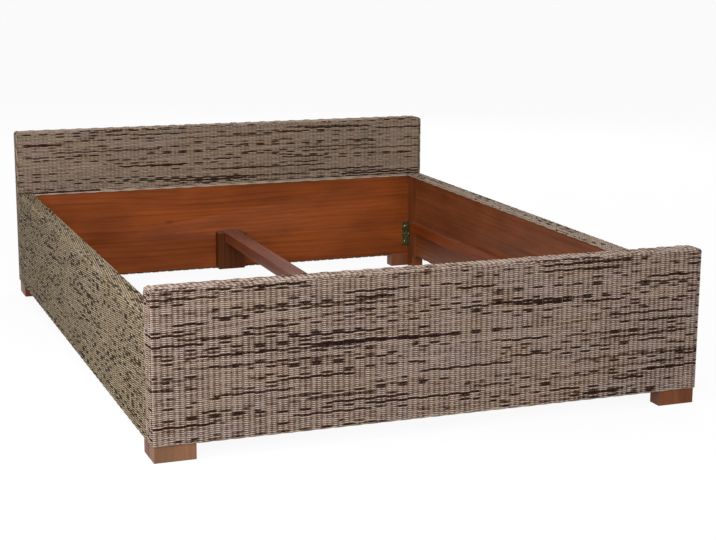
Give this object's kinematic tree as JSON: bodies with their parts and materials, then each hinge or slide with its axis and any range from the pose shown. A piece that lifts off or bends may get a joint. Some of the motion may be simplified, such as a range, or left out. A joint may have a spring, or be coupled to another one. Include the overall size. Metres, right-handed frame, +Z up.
{
  "type": "rattan bed",
  "caption": "Low double bed: wooden frames covered in woven cane, taller head end, inner ledgers, corner brackets and a lift-out centre beam.",
  "frame": {"origin": "on the floor, midway across and along the bed", "axes": "+X to the right seen from the foot, +Y towards the head of the bed, +Z up"},
  "size_m": [1.65, 2.1696, 0.6198],
  "materials": {
    "post_wood": "oiled",
    "frame_wood": "sawn",
    "plank_wood": "oiled",
    "board_wood": "oiled",
    "ledger_wood": "oiled",
    "beam_wood": "oiled",
    "woven_cane": "matt",
    "bracket_metal": "yellow zinc plated",
    "screw_metal": "yellow zinc plated"
  },
  "bodies": {
    "frame": {"head_left_post": "post_wood", "head_right_post": "post_wood", "head_top_bar": "frame_wood", "head_middle_bar": "frame_wood", "head_bottom_bar": "frame_wood", "head_centre_stile": "frame_wood", "head_plank": "plank_wood", "head_woven_cover": "woven_cane", "foot_left_post": "post_wood", "foot_right_post": "post_wood", "foot_top_bar": "frame_wood", "foot_middle_bar": "frame_wood", "foot_bottom_bar": "frame_wood", "foot_centre_stile": "frame_wood", "foot_plank": "plank_wood", "foot_woven_cover": "woven_cane", "right_rail_front_stile": "post_wood", "right_rail_rear_stile": "post_wood", "right_rail_board": "board_wood", "right_rail_top_batten": "frame_wood", "right_rail_bottom_batten": "frame_wood", "right_rail_strut": "frame_wood", "right_rail_ledger": "ledger_wood", "right_rail_woven_cover": "woven_cane", "left_rail_front_stile": "post_wood", "left_rail_rear_stile": "post_wood", "left_rail_board": "board_wood", "left_rail_top_batten": "frame_wood", "left_rail_bottom_batten": "frame_wood", "left_rail_strut": "frame_wood", "left_rail_ledger": "ledger_wood", "left_rail_woven_cover": "woven_cane", "head_socket_left_cheek": "frame_wood", "head_socket_right_cheek": "frame_wood", "head_socket_seat_block": "frame_wood", "foot_socket_left_cheek": "frame_wood", "foot_socket_right_cheek": "frame_wood", "foot_socket_seat_block": "frame_wood", "front_left_bracket": "bracket_metal", "front_left_plank_screw_1": "screw_metal", "front_left_plank_screw_2": "screw_metal", "front_left_rail_screw": "screw_metal", "front_right_bracket": "bracket_metal", "front_right_plank_screw_1": "screw_metal", "front_right_plank_screw_2": "screw_metal", "front_right_rail_screw": "screw_metal", "rear_left_bracket": "bracket_metal", "rear_left_plank_screw_1": "screw_metal", "rear_left_plank_screw_2": "screw_metal", "rear_left_rail_screw": "screw_metal", "rear_right_bracket": "bracket_metal", "rear_right_plank_screw_1": "screw_metal", "rear_right_plank_screw_2": "screw_metal", "rear_right_rail_screw": "screw_metal"},
    "beam": {"centre_beam": "beam_wood", "centre_leg": "beam_wood"}
  },
  "joints": [
    {"name": "beam_lift", "type": "slide", "parent": "frame", "child": "beam", "axis": [0, 0, 1], "range_m": [0, 0.17]}
  ]
}
